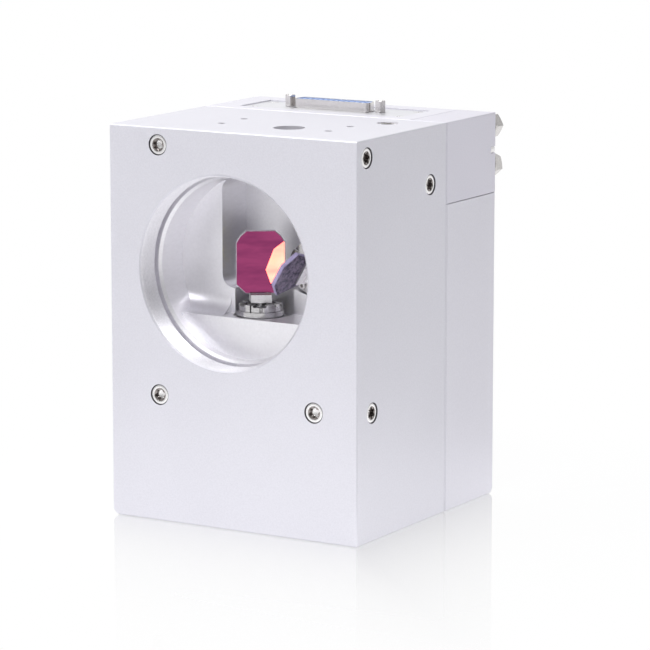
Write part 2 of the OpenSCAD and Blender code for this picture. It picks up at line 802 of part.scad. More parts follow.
// Code vane on the tail of the shaft
module vane() {
    translate([0, 0, -motor_l - shaft_tail + 0.5]) difference() {
        intersection() {
            cylinder(r = core_r - 2.2, h = 1);
            union() {
                cylinder(r = shaft_r + 1.5, h = 1);
                translate([-motor_d, -3, 0]) cube([2 * motor_d, 6, 1]);
            }
        }
        translate([0, 0, -1]) cylinder(r = shaft_r, h = 3);
    }
}

detector_floor = 1.5;
module detector_cap() {
    translate([0, 0, -motor_l - detector_l]) difference() {
        cylinder(r = motor_d / 2 - 1, h = detector_l);
        translate([0, 0, detector_floor]) cylinder(r = core_r - 0.4, h = detector_l);
        translate([0, -3, detector_floor + 1.5]) cube([motor_d, 6, 4]);
    }
}

module detector_board() {
    translate([0, 0, -motor_l - detector_l + detector_floor]) {
        tube(core_r - 0.6, shaft_r + 0.4, 1);
        for (a = [45:90:315]) rotate(a) translate([4.4, -1, 1 - eps]) cube([2.2, 2, 0.6]);
    }
}

// Split clamping collar; the tiers are [radius, height] from the motor outwards, the six notches
// seat the screws, and angles are from +X
notch_deep = 0.9;
notch_a = 34;

module collar(low, high, turn, screw_at, screw_r, screw_d) {
    top = low[1] + high[1];
    difference() {
        union() {
            cylinder(r = low[0], h = low[1]);
            translate([0, 0, low[1] - eps]) cylinder(r = high[0], h = high[1] + eps);
        }
        translate([0, 0, -1]) cylinder(r = neck_r + fit, h = top + 2);
        for (k = [0:5])
            rotate(turn + 60 * k) translate([0, 0, top - notch_deep])
                linear_extrude(2) slice(notch_a, motor_d);
        rotate(turn - 24) translate([0, -0.35, low[1]]) cube([motor_d, 0.7, top]);
        rotate(turn + 4) translate([0, -0.7, low[1]]) cube([motor_d, 1.4, top]);
        for (a = screw_at) rotate(a) translate([screw_r, 0, 0]) {
            translate([0, 0, -1]) cylinder(r = 0.8, h = top + 2);
            translate([0, 0, top - notch_deep - 0.6]) cylinder(d = screw_d + 0.3, h = 3);
        }
    }
}

module collar_screws(top, screw_at, screw_r, screw_d) {
    head = 1.5;
    for (a = screw_at) rotate(a) translate([screw_r, 0, top - notch_deep - 0.6 + head]) difference() {
        union() {
            translate([0, 0, -head]) cylinder(d = screw_d, h = head);
            translate([0, 0, -top]) cylinder(r = 0.75, h = top - 1);
        }
        translate([0, 0, -0.9]) hex_bar(screw_d / 2, 2);
    }
}

// Hub block on the shaft with a jaw plate behind the mirror; z = 0 is the hub's foot, jaw is its width,
// thickness and height above the hub, and side is where the set screw sits
set_screw_r = 0.9;
module mirror_mount(hub_h, jaw, side) {
    foot = -mirror_t - jaw.y;
    difference() {
        union() {
            translate([-hub_w / 2, -hub_deep, 0]) cube([hub_w, 2 * hub_deep, hub_h]);
            translate([-jaw.x / 2, foot, 0]) cube([jaw.x, jaw.y, hub_h + jaw.z]);
        }
        translate([0, 0, -1]) cylinder(r = shaft_r, h = hub_h);
        set_screw_axis(hub_h, side) cylinder(r = set_screw_r, h = 2 * hub_deep);
    }
}

module set_screw_axis(hub_h, side) {
    translate([0, 0, (hub_h - 1) / 2]) rotate([-90 * side, 0, 0]) children();
}

module set_screw(hub_h, side) {
    set_screw_axis(hub_h, side) translate([0, 0, shaft_r]) difference() {
        cylinder(r = set_screw_r, h = 1.5);
        translate([0, 0, 0.7]) hex_bar(0.9, 2);
    }
}

// Blank of a mirror from one half of its outline; reflecting face at y = 0, towards +Y
module mirror_blank(half) {
    rotate([90, 0, 0]) linear_extrude(mirror_t) polygon(both_sides(half));
}

// ---- first galvo ----

x_low = [motor_d / 2 - 0.5, 2.3];
x_high = [motor_d / 2 - 0.5, collar_h - 2.3];
x_collar_turn = 63;
x_collar_screws_at = [63, 243];
x_collar_screw_r = 9.4;
x_collar_screw_d = 3.2;
x_hub_foot = -x_reach + collar_h + hub_gap;
x_hub_h = -x_mirror_l / 2 - x_hub_foot;
x_jaw = [12, 1.2, 4];

// Mirror frame of the first galvo, with +Y out of the reflecting face
module x_mirror_place() {
    x_place() rotate(x_rest) children();
}

x_half = let (w = x_mirror_w / 2, e = x_mirror_l / 2)
    [[w - 4.7, -e], [w - 3.5, 1 - e], [w, e - 5.8], [w - 6.3, e]];

module x_motor_body() color(metal) x_motor_place() motor_body();
module x_end_bells() color(steel) x_motor_place() end_bells();
module x_bearings() color(steel) x_motor_place() bearings();
module x_coil() color(copper) x_motor_place() coil();
module x_magnet() color(black) x_motor_place() magnet();
module x_shaft() color(steel) x_motor_place() shaft(collar_h + hub_gap + x_hub_h - 1);
module x_vane() color(black) x_motor_place() rotate(x_rest) vane();
module x_detector_cap() color(black) x_motor_place() detector_cap();
module x_detector_board() color(board_green) x_motor_place() detector_board();

module x_collar() color(metal) x_motor_place()
    collar(x_low, x_high, x_collar_turn, x_collar_screws_at, x_collar_screw_r, x_collar_screw_d);

module x_collar_screws() color(steel) x_motor_place()
    collar_screws(collar_h, x_collar_screws_at, x_collar_screw_r, x_collar_screw_d);

module x_mount() color(metal) x_mirror_place() translate([0, 0, x_hub_foot])
    mirror_mount(x_hub_h, x_jaw, 1);

module x_mount_screw() color(steel) x_mirror_place() translate([0, 0, x_hub_foot]) set_screw(x_hub_h, 1);

module x_mirror() color(gold) x_mirror_place() mirror_blank(x_half);

// ---- second galvo ----

y_low = [motor_d / 2 - 1.25, 2.3 + y_recess];
y_high = [motor_d / 2 - 2.35, collar_h - 2.3];
y_collar_turn = 298;
y_collar_screws_at = [358, 178];
y_collar_screw_r = 8.4;
y_collar_screw_d = 2.6;
y_hub_foot = -y_reach + y_recess + collar_h + hub_gap;
y_hub_h = -y_mirror_l / 2 - y_hub_foot;
y_jaw = [9.6, 1.6, 9];

module y_mirror_place() {
    y_place() rotate(180 + y_rest) children();
}

y_half = let (w = y_mirror_w / 2, e = y_mirror_l / 2)
    [[w - 4.2, -e], [w, 4.1 - e], [w, e - 5.4], [w - 1.7, e - 2.5], [w - 4.5, e]];

module y_motor_body() color(metal) y_motor_place() motor_body();
module y_end_bells() color(steel) y_motor_place() end_bells();
module y_bearings() color(steel) y_motor_place() bearings();
module y_coil() color(copper) y_motor_place() coil();
module y_magnet() color(black) y_motor_place() magnet();
module y_shaft() color(steel) y_motor_place() shaft(y_recess + collar_h + hub_gap + y_hub_h - 1);
module y_vane() color(black) y_motor_place() rotate(y_rest) vane();
module y_detector_cap() color(black) y_motor_place() detector_cap();
module y_detector_board() color(board_green) y_motor_place() detector_board();

module y_collar() color(metal) y_motor_place()
    collar(y_low, y_high, y_collar_turn, y_collar_screws_at, y_collar_screw_r, y_collar_screw_d);

module y_collar_screws() color(steel) y_motor_place()
    collar_screws(y_recess + collar_h, y_collar_screws_at, y_collar_screw_r, y_collar_screw_d);

module y_mount() color(metal) y_mirror_place() translate([0, 0, y_hub_foot])
    mirror_mount(y_hub_h, y_jaw, -1);

module y_mount_screw() color(steel) y_mirror_place() translate([0, 0, y_hub_foot]) set_screw(y_hub_h, -1);

module y_mirror() color(magenta) y_mirror_place() mirror_blank(y_half);

// ---- servo electronics, on a carrier plate behind the housing ----

carrier_t = 3;
carrier_lo = [-body_w / 2 + 6.5, 15];
carrier_hi = [body_w / 2 - 8.5, tz(beam_drop) - motor_d / 2 - 4];
carrier_grip = 6;
m3_hole = 1.25;
carrier_screw_at = [
    [carrier_lo.x + 3, carrier_lo.y + 4],
    [carrier_lo.x + 3, carrier_hi.y - 5],
    [carrier_hi.x - 3, carrier_hi.y - 5],
    [carrier_hi.x - 3, tz(room_top) + 6]
];
spacer_l = 6;
spacer_r = 2.6;
m2_hole = 1.1;
board_t = 1.6;
board_w = 44;
board_in = 4;
board_z = [carrier_lo.y + 1, carrier_hi.y - 17];
board_x = [carrier_lo.x + 8 + board_w / 2, carrier_hi.x - 10 - board_w / 2];
board_y = fy(hood_d) + carrier_t + spacer_l;
spacer_at = [
    for (x = board_x, s = [-1, 1], z = [board_z[0] + board_in, board_z[1] - board_in])
        [x + s * (board_w / 2 - board_in), z]
];
transistor_at = [for (x = board_x, s = [-1, 1]) [x + s * 11, carrier_hi.y - 15.5]];
socket_at = [for (x = board_x, z = [board_z[0] + 12, board_z[1] - 12]) [x, z]];

module board_carrier() color(metal) difference() {
    span([carrier_lo.x, fy(hood_d), carrier_lo.y], [carrier_hi.x, fy(hood_d) + carrier_t, carrier_hi.y]);
    for (p = carrier_screw_at) rod_y([p.x, fy(hood_d) - 1, p.y], m3_hole + 0.3, 10);
    for (p = spacer_at) rod_y([p.x, fy(hood_d) - 1, p.y], m2_hole, 10);
}

module carrier_screws() color(steel) {
    for (p = carrier_screw_at) translate([p.x, fy(hood_d) + carrier_t + 2, p.y]) rotate([-90, 0, 0])
        socket_screw(5, 2, 2 * m3_hole, carrier_t + carrier_grip, 2.6);
}

module servo_boards() color(board_green) {
    for (x = board_x) difference() {
        span([x - board_w / 2, board_y, board_z[0]], [x + board_w / 2, board_y + board_t, board_z[1]]);
        for (p = spacer_at) rod_y([p.x, board_y - 1, p.y], m2_hole, 10);
    }
}

module power_transistors() color(black) {
    w = 10;
    tab = [1.3, 15];
    pack = [4.4, 9];
    for (p = transistor_at) translate([p.x, fy(hood_d) + carrier_t, p.y]) difference() {
        union() {
            span([-w / 2, 0, 0], [w / 2, tab[0], tab[1]]);
            span([-w / 2, 0, 0], [w / 2, pack[0], pack[1]]);
        }
        rod_y([0, -1, tab[1] - 3], 1.7, 10);
    }
}

module board_sockets() color(black) {
    s = [24, 7, 6];
    wall = 1;
    for (p = socket_at) translate([p.x, board_y + board_t, p.y]) difference() {
        span([-s.x / 2, 0, -s.z / 2], [s.x / 2, s.y, s.z / 2]);
        span([wall - s.x / 2, wall, wall - s.z / 2], [s.x / 2 - wall, s.y + 1, s.z / 2 - wall]);
    }
}

module board_spacers() color(steel) {
    for (p = spacer_at) translate([p.x, fy(hood_d) + carrier_t, p.y]) rotate([-90, 0, 0])
        tube(spacer_r, m2_hole, spacer_l);
}

module board_screws() color(steel) {
    for (p = spacer_at) translate([p.x, board_y + board_t + 1.6, p.y]) rotate([-90, 0, 0])
        socket_screw(4.2, 1.6, 2 * m2_hole, board_t + spacer_l + carrier_t - 0.5, 2);
}

iface_drop = 11;                          // interface board below the top face
iface_size = [70, 20];
iface_head = [4.2, 1.6];
post_at = [for (sx = [-1, 1], sy = [-1, 1]) [sx * 32, sy * 7]];
tail_l = iface_drop + board_t + 0.6 - plate_sink - plate_t - flange_t - rear_block.z;

module interface_board() color(board_green) at_conn() difference() {
    translate([-iface_size.x / 2, -iface_size.y / 2, -iface_drop - board_t])
        cube([iface_size.x, iface_size.y, board_t]);
    translate([0, 0, -2 * iface_drop]) {
        for (p = contact_at()) translate(p) cylinder(r = tail_r + fit, h = iface_drop + 1, $fn = 24);
        for (p = post_at) translate(p) cylinder(r = m2_tap, h = iface_drop + 1);
    }
}

module interface_posts() color(steel) at_conn() {
    for (p = post_at) translate([p.x, p.y, -iface_drop]) tube(spacer_r, m2_tap, iface_drop - cover_top);
}

module interface_screws() color(steel) at_conn() {
    l = iface_drop + board_t - plate_sink - plate_t - 1;
    for (p = post_at) translate([p.x, p.y, -iface_drop - board_t - iface_head[1]]) rotate([180, 0, 0])
        socket_screw(iface_head[0], iface_head[1], 2 * m2_tap, l, 2);
}

// ---- parts ----

front_housing();
lens_ring();
base_tray();
front_plugs();
right_plugs();
top_plug();
bottom_plug();
plug_seals();
rear_cover();
cover_gasket();
cover_screws();
coolant_manifold();
manifold_screws();
manifold_seals();
port_fittings();
port_nuts();
port_seals();
connector_plate();
plate_screws();
dsub_shell();
dsub_insulator();
dsub_contacts();
jackscrews();
x_motor_body();
x_end_bells();
x_bearings();
x_coil();
x_collar();
x_collar_screws();
x_magnet();
x_shaft();
x_mount();
x_mount_screw();
x_mirror();
x_vane();
x_detector_cap();
x_detector_board();
y_motor_body();
y_end_bells();
y_bearings();
y_coil();
y_collar();
y_collar_screws();
y_magnet();
y_shaft();
y_mount();
y_mount_screw();
y_mirror();
y_vane();
y_detector_cap();
y_detector_board();
board_carrier();
carrier_screws();
servo_boards();
power_transistors();
board_sockets();
board_spacers();
board_screws();
interface_board();
interface_posts();
interface_screws();
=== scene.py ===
import json
import math
import bmesh
import bpy
from mathutils import Matrix, Vector


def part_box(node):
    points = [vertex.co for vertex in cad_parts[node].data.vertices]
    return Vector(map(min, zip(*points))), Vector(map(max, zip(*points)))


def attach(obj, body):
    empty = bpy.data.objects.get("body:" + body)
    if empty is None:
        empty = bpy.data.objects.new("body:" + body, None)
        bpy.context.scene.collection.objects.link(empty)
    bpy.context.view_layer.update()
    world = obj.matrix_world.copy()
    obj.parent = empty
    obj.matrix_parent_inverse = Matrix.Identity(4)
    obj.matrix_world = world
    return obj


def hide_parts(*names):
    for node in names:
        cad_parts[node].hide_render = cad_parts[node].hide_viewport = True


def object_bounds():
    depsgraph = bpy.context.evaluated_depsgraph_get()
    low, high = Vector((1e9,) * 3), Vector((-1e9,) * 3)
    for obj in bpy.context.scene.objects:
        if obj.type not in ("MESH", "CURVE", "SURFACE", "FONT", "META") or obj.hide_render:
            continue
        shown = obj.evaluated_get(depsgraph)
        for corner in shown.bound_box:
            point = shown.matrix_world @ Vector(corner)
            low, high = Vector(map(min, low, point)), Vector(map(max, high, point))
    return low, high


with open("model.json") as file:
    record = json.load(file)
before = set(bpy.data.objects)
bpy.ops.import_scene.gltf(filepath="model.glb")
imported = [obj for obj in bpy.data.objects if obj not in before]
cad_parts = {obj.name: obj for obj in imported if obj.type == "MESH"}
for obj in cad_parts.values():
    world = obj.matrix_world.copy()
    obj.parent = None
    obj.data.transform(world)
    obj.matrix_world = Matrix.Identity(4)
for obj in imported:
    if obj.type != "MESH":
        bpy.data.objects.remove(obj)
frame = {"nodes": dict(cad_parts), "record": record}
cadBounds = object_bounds()
scene = bpy.context.scene
nodes = frame["nodes"]
record = frame["record"]
mounts = {mount["name"]: mount for mount in record["mounts"]}
slotOf = {part["node"]: part["material_slot"] for part in record["subparts"]}
bodyOf = {node: body for body, members in record["behaviour"]["bodies"].items() for node in members}
mm = 0.001
weldReach = 0.002 * mm
flatLimit = 0.2  # degrees between faces that count as one flat face
print("frame loaded:", len(nodes), "nodes")


# camera at the front right, looking a little down through a long lens
cameraSet = {"place": (0.79452, -1.32293, 0.35927), "down": 10.216, "turn": 30.662, "lens": 194.93,
             "sensor": 36, "nearest": 0.05}
cameraData = bpy.data.cameras.new("viewCamera")
cameraData.lens = cameraSet["lens"]
cameraData.sensor_width = cameraSet["sensor"]
cameraData.clip_start = cameraSet["nearest"]
viewCamera = bpy.data.objects.new("viewCamera", cameraData)
viewCamera.location = cameraSet["place"]
viewCamera.rotation_euler = (math.radians(90 - cameraSet["down"]), 0, math.radians(cameraSet["turn"]))
scene.collection.objects.link(viewCamera)
scene.camera = viewCamera


# nodes of a material

def startMaterial(name):
    material = bpy.data.materials.new(name)
    material.use_nodes = True
    tree = material.node_tree
    return material, tree, tree.nodes["Principled BSDF"]


def addNode(tree, kind, **settings):
    node = tree.nodes.new(kind)
    for key, value in settings.items():
        setattr(node, key, value)
    return node


# gives a node's inputs numbers or other nodes' outputs, by name or in order
def feed(tree, node, inputs):
    for key, value in inputs.items() if isinstance(inputs, dict) else enumerate(inputs):
        if isinstance(value, bpy.types.NodeSocket):
            tree.links.new(value, node.inputs[key])
        else:
            node.inputs[key].default_value = value
    return node


def maths(tree, operation, *inputs, clamp=False):
    node = addNode(tree, "ShaderNodeMath", operation=operation, use_clamp=clamp)
    return feed(tree, node, inputs).outputs[0]


def vectorMaths(tree, operation, *inputs):
    node = addNode(tree, "ShaderNodeVectorMath", operation=operation)
    return feed(tree, node, inputs).outputs["Vector"]


def separated(tree, vector):
    return feed(tree, addNode(tree, "ShaderNodeSeparateXYZ"), [vector]).outputs


def mixShader(tree, share, first, second):
    return feed(tree, addNode(tree, "ShaderNodeMixShader"), (share, first, second)).outputs[0]


# Object coordinates, each multiplied by its stretch: a grain runs along the way of the smallest one
def placed(tree, stretch=(1, 1, 1)):
    coordinates = addNode(tree, "ShaderNodeTexCoord")
    mapping = addNode(tree, "ShaderNodeMapping", vector_type="TEXTURE")
    feed(tree, mapping, {"Vector": coordinates.outputs["Object"], "Scale": [1 / value for value in stretch]})
    return mapping.outputs["Vector"]


def noise(tree, vector, scale, detail=3, rough=0.55):
    inputs = {"Vector": vector, "Scale": scale, "Detail": detail, "Roughness": rough}
    return feed(tree, addNode(tree, "ShaderNodeTexNoise"), inputs).outputs["Fac"]


# a colour between low and high as the value goes from start to end
def ramp(tree, value, low, high, start=0.35, end=0.65):
    colours = addNode(tree, "ShaderNodeValToRGB")
    for stop, position, colour in zip(colours.color_ramp.elements, (start, end), (low, high)):
        stop.position = position
        stop.color = (*colour, 1)
    return feed(tree, colours, [value]).outputs["Color"]


# a number between low and high as the value goes from start to end
def spread(tree, value, low, high, start=0.3, end=0.7):
    inputs = {"Value": value, "From Min": start, "From Max": end, "To Min": low, "To Max": high}
    return feed(tree, addNode(tree, "ShaderNodeMapRange"), inputs).outputs["Result"]


def bump(tree, value, depth, strength):
    relief = addNode(tree, "ShaderNodeBump")
    return feed(tree, relief, {"Height": value, "Distance": depth, "Strength": strength}).outputs["Normal"]


# what a look keeps to unless it says otherwise
plainLook = {"stretch": (1, 1, 1), "driftScale": 18, "driftDetail": 2, "drift": 0.5, "grainDetail": 4,
             "metallic": 0, "relief": 0.01 * mm, "reliefStrength": 0.3}


# a metal or plastic with a slow drift in tone and a fine grain in tone, gloss and relief
def grainMaterial(name, ownLook):
    look = {**plainLook, **ownLook}
    material, tree, shader = startMaterial(name)
    drift = noise(tree, placed(tree), look["driftScale"], look["driftDetail"])
    grain = noise(tree, placed(tree, look["stretch"]), look["grainScale"], look["grainDetail"])
    fine = maths(tree, "MULTIPLY", grain, 1 - look["drift"])
    tone = maths(tree, "MULTIPLY_ADD", drift, look["drift"], fine)
    feed(tree, shader, {"Base Color": ramp(tree, tone, look["dark"], look["light"]),
                        "Roughness": spread(tree, grain, *look["rough"]),
                        "Normal": bump(tree, grain, look["relief"], look["reliefStrength"]),
                        "Metallic": look["metallic"]})
    return material


looks = {
    "anodised": {"dark": (0.735, 0.728, 0.79), "light": (0.80, 0.793, 0.855), "rough": (0.40, 0.50),
                 "metallic": 0.5, "grainScale": 1500, "driftScale": 9, "drift": 0.35,
                 "relief": 0.02 * mm, "reliefStrength": 0.16},
    "coverAnodised": {"dark": (0.77, 0.76, 0.825), "light": (0.825, 0.815, 0.88), "rough": (0.42, 0.52),
                      "metallic": 0.5, "grainScale": 1400, "driftScale": 9, "drift": 0.35,
                      "relief": 0.02 * mm, "reliefStrength": 0.16},
    "manifoldAnodised": {"dark": (0.73, 0.715, 0.795), "light": (0.795, 0.78, 0.855), "rough": (0.38, 0.48),
                         "metallic": 0.5, "grainScale": 1600, "driftScale": 12, "drift": 0.35,
                         "relief": 0.02 * mm, "reliefStrength": 0.16},
    "machinedBore": {"dark": (0.86, 0.85, 0.89), "light": (0.93, 0.92, 0.96), "rough": (0.34, 0.44),
                     "metallic": 0.85, "grainScale": 900, "stretch": (1, 0.3, 1), "drift": 0.4,
                     "reliefStrength": 0.06},
    "threadMetal": {"dark": (0.76, 0.75, 0.80), "light": (0.86, 0.85, 0.90), "rough": (0.3, 0.42),
                    "metallic": 0.6, "grainScale": 900, "drift": 0.3, "reliefStrength": 0.1},
    "plateMetal": {"dark": (0.72, 0.72, 0.76), "light": (0.82, 0.82, 0.86), "rough": (0.32, 0.45),
                   "metallic": 0.7, "grainScale": 1100, "stretch": (0.12, 1, 1), "drift": 0.25,
                   "reliefStrength": 0.2},
    "stainless": {"dark": (0.74, 0.73, 0.74), "light": (0.87, 0.86, 0.865), "rough": (0.16, 0.26),
                  "metallic": 1, "grainScale": 1800, "drift": 0.3, "reliefStrength": 0.08},
    # darkened steel that paints the shade inside the screw sockets
    "paintedSocketShade": {"dark": (0.22, 0.20, 0.195), "light": (0.36, 0.33, 0.32), "rough": (0.1, 0.18),
                    "metallic": 1, "grainScale": 1500, "drift": 0.3, "reliefStrength": 0.05},
    # near black that paints the shade in the plug seats round the plug heads
    "paintedSeatShade": {"dark": (0.09, 0.085, 0.10), "light": (0.16, 0.15, 0.18), "rough": (0.4, 0.6),
                  "metallic": 0.3, "grainScale": 1500, "reliefStrength": 0.1},
    "collarSteel": {"dark": (0.44, 0.43, 0.44), "light": (0.68, 0.67, 0.68), "rough": (0.14, 0.24),
                    "metallic": 1, "grainScale": 600, "stretch": (1, 1, 5), "reliefStrength": 0.05},
    "motorMetal": {"dark": (0.66, 0.65, 0.67), "light": (0.78, 0.77, 0.79), "rough": (0.26, 0.36),
                   "metallic": 0.9, "grainScale": 500, "stretch": (1, 1, 6), "drift": 0.3,
                   "reliefStrength": 0.06},
    "bearingSteel": {"dark": (0.46, 0.46, 0.48), "light": (0.6, 0.6, 0.62), "rough": (0.12, 0.22),
                     "metallic": 1, "grainScale": 2000, "drift": 0.3},
    "nickel": {"dark": (0.66, 0.64, 0.63), "light": (0.76, 0.74, 0.73), "rough": (0.18, 0.28),
               "metallic": 1, "grainScale": 700, "reliefStrength": 0.05},
    "blackRubber": {"dark": (0.012, 0.012, 0.013), "light": (0.03, 0.03, 0.032), "rough": (0.55, 0.75),
                    "grainScale": 1500, "reliefStrength": 0.5},
    "goldPlate": {"dark": (0.78, 0.55, 0.22), "light": (0.95, 0.72, 0.34), "rough": (0.15, 0.3),
                  "metallic": 1, "grainScale": 2500},
    "magnetBlack": {"dark": (0.06, 0.06, 0.065), "light": (0.13, 0.13, 0.14), "rough": (0.3, 0.5),
                    "metallic": 0.8, "grainScale": 2600, "reliefStrength": 0.4},
    "blackPlastic": {"dark": (0.018, 0.018, 0.02), "light": (0.04, 0.04, 0.045), "rough": (0.35, 0.55),
                     "grainScale": 1600, "reliefStrength": 0.4},
}
finishes = {name: grainMaterial(name, look) for name, look in looks.items()}


# enamelled wire wound round a motor, its strands side by side along Object Z, the grooves between them
# painted darker as shade
def windingMaterial(name, look):
    material, tree, shader = startMaterial(name)
    wave = addNode(tree, "ShaderNodeTexWave", bands_direction="Z")
    feed(tree, wave, {"Vector": placed(tree), "Scale": look["strands"], "Distortion": look["waver"]})
    strands = wave.outputs["Fac"]
    # the colour between strands is painted shade
    feed(tree, shader, {"Base Color": ramp(tree, strands, look["gap"], look["wire"], *look["grooveShadeEdge"]),
                        "Normal": bump(tree, strands, look["relief"], look["reliefStrength"]),
                        "Metallic": look["metallic"], "Roughness": look["rough"],
                        "Coat Weight": look["coat"]})
    return material


# lacquered board: copper paths under the green, and tinned pads
def boardMaterial(name, look):
    material, tree, shader = startMaterial(name)
    vector = placed(tree)
    paths = addNode(tree, "ShaderNodeTexVoronoi", feature="DISTANCE_TO_EDGE")
    feed(tree, paths, {"Vector": vector, "Scale": look["paths"], "Randomness": look["pathRandomness"]})
    pads = addNode(tree, "ShaderNodeTexVoronoi", feature="F1")
    feed(tree, pads, {"Vector": vector, "Scale": look["pads"], "Randomness": look["padRandomness"]})
    pathEdge = paths.outputs["Distance"]
    lacquer = ramp(tree, pathEdge, look["overCopper"], look["green"], *look["pathEdge"])
    padMask = spread(tree, pads.outputs["Distance"], 1, 0, *look["padEdge"])
    mixed = addNode(tree, "ShaderNodeMix", data_type="RGBA")
    feed(tree, mixed, {0: padMask, 6: lacquer, 7: (*look["tin"], 1)})  # 6 and 7 are its two colours
    feed(tree, shader, {"Base Color": mixed.outputs[2], "Metallic": padMask, "Roughness": look["rough"],
                        "Normal": bump(tree, pathEdge, look["relief"], look["reliefStrength"]),
                        "Coat Weight": look["coat"]})
    return material


# coated mirror: a tinted reflection with faint streaks across it
def mirrorMaterial(name, look):
    material, tree, shader = startMaterial(name)
    streaks = noise(tree, placed(tree, look["stretch"]), look["streakScale"])
    feed(tree, shader, {"Base Color": ramp(tree, streaks, look["dark"], look["light"], *look["streakEdge"]),
                        "Metallic": look["metallic"], "Roughness": look["rough"]})
    return material


# ground glass: with the mottle of old adhesive on a mirror's back, or frosted at its edges
def mottleMaterial(name, look):
    material, tree, shader = startMaterial(name)
    patches = noise(tree, placed(tree), look["scale"], look["detail"], look["roughness"])
    feed(tree, shader, {"Base Color": ramp(tree, patches, look["dark"], look["light"], *look["patchEdge"]),
                        "Roughness": spread(tree, patches, *look["rough"]),
                        "Normal": bump(tree, patches, look["relief"], look["reliefStrength"]),
                        "Metallic": look["metallic"]})
    return material


# moulded block with a light contact hole at each step along Object X
def contactMaterial(name, look):
    material, tree, shader = startMaterial(name)
    row = addNode(tree, "ShaderNodeTexWave", bands_direction="X")
    waveScale = 2 * math.pi / (20 * look["pitch"])  # at scale 1 the bands are 2 pi / 20 apart
    feed(tree, row, {"Vector": placed(tree), "Scale": waveScale})
    grain = noise(tree, placed(tree), look["grainScale"])
    holes = ramp(tree, row.outputs["Fac"], look["block"], look["hole"], *look["holeEdge"])
    feed(tree, shader, {"Base Color": holes, "Roughness": spread(tree, grain, *look["rough"]),
                        "Normal": bump(tree, grain, look["relief"], look["reliefStrength"])})
    return material


finishes["coilCopper"] = windingMaterial("coilCopper", {
    "gap": (0.25, 0.075, 0.025), "wire": (0.75, 0.32, 0.12), "grooveShadeEdge": (0.1, 0.8), "strands": 420,
    "waver": 0.6, "relief": 0.1 * mm, "reliefStrength": 0.8, "metallic": 0.85, "rough": 0.28, "coat": 0.5})
finishes["boardGreen"] = boardMaterial("boardGreen", {
    "overCopper": (0.05, 0.27, 0.11), "green": (0.012, 0.11, 0.045), "tin": (0.72, 0.70, 0.66),
    "paths": 260, "pathRandomness": 0.55, "pathEdge": (0.03, 0.06),
    "pads": 190, "padRandomness": 0.3, "padEdge": (0.14, 0.17),
    "relief": 0.2 * mm, "reliefStrength": 0.3, "rough": 0.3, "coat": 0.4})
finishes["mirrorMagenta"] = mirrorMaterial("mirrorMagenta", {
    "dark": (0.24, 0.04, 0.125), "light": (0.33, 0.056, 0.16), "stretch": (1, 1, 4), "streakScale": 60,
    "streakEdge": (0.32, 0.6), "metallic": 1, "rough": 0.02})
finishes["mirrorGold"] = mirrorMaterial("mirrorGold", {
    "dark": (0.94, 0.85, 0.20), "light": (0.97, 0.89, 0.225), "stretch": (1, 1, 1), "streakScale": 80,
    "streakEdge": (0.32, 0.6), "metallic": 1, "rough": 0.02})
glassLook = {"detail": 5, "roughness": 0.7, "relief": 0.08 * mm, "reliefStrength": 0.5}
frostLook = {**glassLook, "patchEdge": (0.3, 0.7), "scale": 900, "rough": (0.3, 0.5), "metallic": 0}
finishes["mirrorBack"] = mottleMaterial("mirrorBack", {
    **glassLook, "dark": (0.045, 0.035, 0.08), "light": (0.42, 0.35, 0.49), "patchEdge": (0.42, 0.63),
    "scale": 430, "rough": (0.35, 0.6), "metallic": 0.2})
finishes["mirrorEdge"] = mottleMaterial("mirrorEdge", {
    **frostLook, "dark": (0.33, 0.28, 0.50), "light": (0.50, 0.45, 0.68)})
finishes["mirrorRim"] = mottleMaterial("mirrorRim", {
    **frostLook, "dark": (0.50, 0.46, 0.52), "light": (0.74, 0.70, 0.77)})
finishes["contactBlock"] = contactMaterial("contactBlock", {
    "block": (0.13, 0.27, 0.66), "hole": (0.40, 0.51, 0.82), "pitch": 2.76 * mm, "holeEdge": (0.45, 0.75),
    "grainScale": 900, "rough": (0.35, 0.5), "relief": 0.01 * mm, "reliefStrength": 0.2})
print("materials made:", len(finishes))

finishOf = {"housing_metal": "anodised", "cover_metal": "coverAnodised", "plate_metal": "plateMetal",
            "motor_metal": "motorMetal", "stainless": "stainless", "bearing_steel": "bearingSteel",
            "nickel": "nickel", "black_rubber": "blackRubber", "contact_block": "contactBlock",
            "gold_plate": "goldPlate", "coil_copper": "coilCopper", "magnet_black": "magnetBlack",
            "black_plastic": "blackPlastic", "board_green": "boardGreen", "mirror_gold": "mirrorGold",
            "mirror_magenta": "mirrorMagenta"}
for node, item in nodes.items():
    item.data.materials.clear()
    item.data.materials.append(finishes[finishOf[slotOf[node]]])


# mesh helpers

def weldedCopy(node):
    bm = bmesh.new()
    bm.from_mesh(nodes[node].data)
    bmesh.ops.remove_doubles(bm, verts=bm.verts, dist=weldReach)
    return bm


def flattened(bm):
    bmesh.ops.dissolve_limit(bm, angle_limit=math.radians(flatLimit), verts=bm.verts, edges=bm.edges)
    bm.normal_update()
    return bm


# one mesh of nodes that meet face to face, with no walls left between them
def mergedCopy(*names):
    if len(names) == 1:
        return flattened(weldedCopy(names[0]))
    blanks = []
    for name in names:
        bm = weldedCopy(name)
        mesh = bpy.data.meshes.new("blank")
        bm.to_mesh(mesh)
        bm.free()
        blanks.append(bpy.data.objects.new("blank", mesh))
        scene.collection.objects.link(blanks[-1])
    for other in blanks[1:]:
        union = blanks[0].modifiers.new("union", "BOOLEAN")
        union.operation = "UNION"
        union.solver = "EXACT"
        union.object = other
    joined = bpy.data.meshes.new_from_object(blanks[0].evaluated_get(bpy.context.evaluated_depsgraph_get()))
    bm = bmesh.new()
    bm.from_mesh(joined)
    for blank in blanks:
        bpy.data.meshes.remove(blank.data)  # takes the blank itself with it
    bpy.data.meshes.remove(joined)
    bmesh.ops.remove_doubles(bm, verts=bm.verts, dist=weldReach)
    return flattened(bm)


